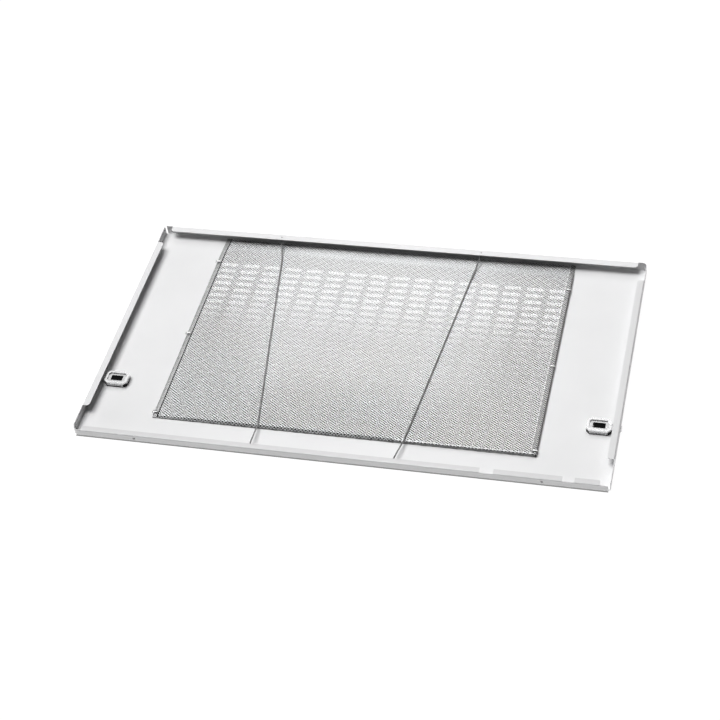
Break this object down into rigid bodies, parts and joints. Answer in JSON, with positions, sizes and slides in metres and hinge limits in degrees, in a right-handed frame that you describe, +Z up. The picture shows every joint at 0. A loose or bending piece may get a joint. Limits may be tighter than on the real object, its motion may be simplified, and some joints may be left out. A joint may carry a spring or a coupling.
{
  "type": "range hood suction panel",
  "caption": "White enamelled underside panel of an under cabinet range hood: folded tray with a slotted grille, layered grease filter mat, retaining wires and sprung latches.",
  "frame": {"origin": "on the resting plane, under the middle of the panel", "axes": "+X to the panel's right, +Y to its back, +Z up, out of the tray's inner side"},
  "size_m": [0.601, 0.35, 0.0115],
  "materials": {
    "white_enamel": "satin white enamel on sheet steel",
    "expanded_aluminium": "bright fine expanded mesh",
    "core_foil": "crimped expanded foil",
    "hem_aluminium": "folded mesh edge",
    "staple_steel": "bright tinned steel",
    "spring_wire": "drawn spring steel",
    "latch_metal": "bright nickel plate on a zinc casting",
    "bolt_steel": "bright zinc plate",
    "black_plastic": "black moulded plastic"
  },
  "bodies": {
    "root": {"panel": "white_enamel", "grille": "white_enamel", "filter_mesh_upper": "expanded_aluminium", "filter_core_top": "core_foil", "filter_core_middle": "core_foil", "filter_core_bottom": "core_foil", "filter_mesh_lower": "expanded_aluminium", "filter_hem_left": "hem_aluminium", "filter_hem_right": "hem_aluminium", "filter_staples_left": "staple_steel", "filter_staples_right": "staple_steel", "latch_housing_left": "latch_metal", "latch_housing_right": "latch_metal", "latch_spring_left": "spring_wire", "latch_spring_right": "spring_wire"},
    "left_bolt": {"latch_bolt_left": "bolt_steel", "latch_slider_left": "black_plastic"},
    "right_bolt": {"latch_bolt_right": "bolt_steel", "latch_slider_right": "black_plastic"},
    "left_wire": {"retaining_wire_left": "spring_wire"},
    "right_wire": {"retaining_wire_right": "spring_wire"}
  },
  "joints": [
    {"name": "left_bolt_slide", "type": "slide", "parent": "root", "child": "left_bolt", "axis": [1, 0, 0], "range_m": [0, 0.004], "stiffness_N_per_m": 300, "springref_m": -0.002, "deforming": ["latch_spring_left"]},
    {"name": "right_bolt_slide", "type": "slide", "parent": "root", "child": "right_bolt", "axis": [-1, 0, 0], "range_m": [0, 0.004], "stiffness_N_per_m": 300, "springref_m": -0.002, "deforming": ["latch_spring_right"]},
    {"name": "left_wire_swing", "type": "hinge", "parent": "root", "child": "left_wire", "pos_m": [-0.146, 0.17, 0.0106], "axis": [0, 0, 1], "range_deg": [0, 10]},
    {"name": "right_wire_swing", "type": "hinge", "parent": "root", "child": "right_wire", "pos_m": [0.102, 0.17, 0.0106], "axis": [0, 0, -1], "range_deg": [0, 10]}
  ]
}
